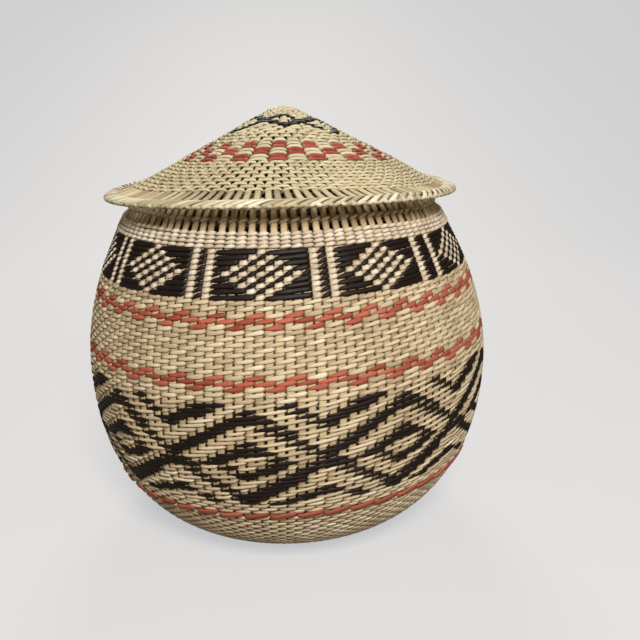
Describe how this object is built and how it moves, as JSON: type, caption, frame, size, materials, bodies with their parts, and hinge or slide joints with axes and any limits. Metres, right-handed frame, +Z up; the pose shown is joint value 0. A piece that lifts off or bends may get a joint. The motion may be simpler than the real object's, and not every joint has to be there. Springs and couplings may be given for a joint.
{
  "type": "lidded woven basket",
  "caption": "Round twined basket with a swelling body, red stripes, black panels and diamonds, an openwork neck, and a conical lift-off lid with a plaited rim.",
  "frame": {"origin": "middle of the flat underside, on the surface that the basket stands on", "axes": "+Z up through the lid's crown; the basket is round about Z, and -Y faces the picture's camera"},
  "size_m": [0.25, 0.25, 0.2574],
  "materials": {
    "base_start": "matte dry twined splints",
    "base_rows": "matte dry twined splints",
    "lower_wall": "matte dry twined splints",
    "base_red_row": "matte dyed twined splints",
    "diamond_band": "matte dyed and natural twined splints",
    "lower_red_stripe": "matte dyed twined splints",
    "middle_wall": "matte dry twined splints",
    "upper_red_stripe": "matte dyed twined splints",
    "panel_band": "matte dyed and natural twined splints",
    "shoulder_rows": "matte dry twined splints",
    "neck_stakes": "satin bare stakes",
    "mouth_border": "matte dry stake ends",
    "lid_start": "matte dry twined splints",
    "lid_black_band": "matte dyed and natural twined splints",
    "lid_upper_wall": "matte dry twined splints",
    "lid_red_band": "matte dyed and natural twined splints",
    "lid_lower_wall": "matte dry twined splints",
    "lid_stakes": "satin bare stakes",
    "lid_braid": "matte dry plaited splints",
    "lid_collar": "matte dry twined splints",
    "lid_collar_edge": "matte dry stake ends"
  },
  "bodies": {
    "basket": {"base_start": "base_start", "base_rows": "base_rows", "lower_wall": "lower_wall", "base_red_row": "base_red_row", "diamond_band": "diamond_band", "lower_red_stripe": "lower_red_stripe", "middle_wall": "middle_wall", "upper_red_stripe": "upper_red_stripe", "panel_band": "panel_band", "shoulder_rows": "shoulder_rows", "neck_stakes": "neck_stakes", "mouth_border": "mouth_border"},
    "lid": {"lid_start": "lid_start", "lid_black_band": "lid_black_band", "lid_upper_wall": "lid_upper_wall", "lid_red_band": "lid_red_band", "lid_lower_wall": "lid_lower_wall", "lid_stakes": "lid_stakes", "lid_braid": "lid_braid", "lid_collar": "lid_collar", "lid_collar_edge": "lid_collar_edge"}
  },
  "joints": [
    {"name": "lid_lift", "type": "slide", "parent": "basket", "child": "lid", "axis": [0, 0, 1], "range_m": [0, 0.08]}
  ]
}
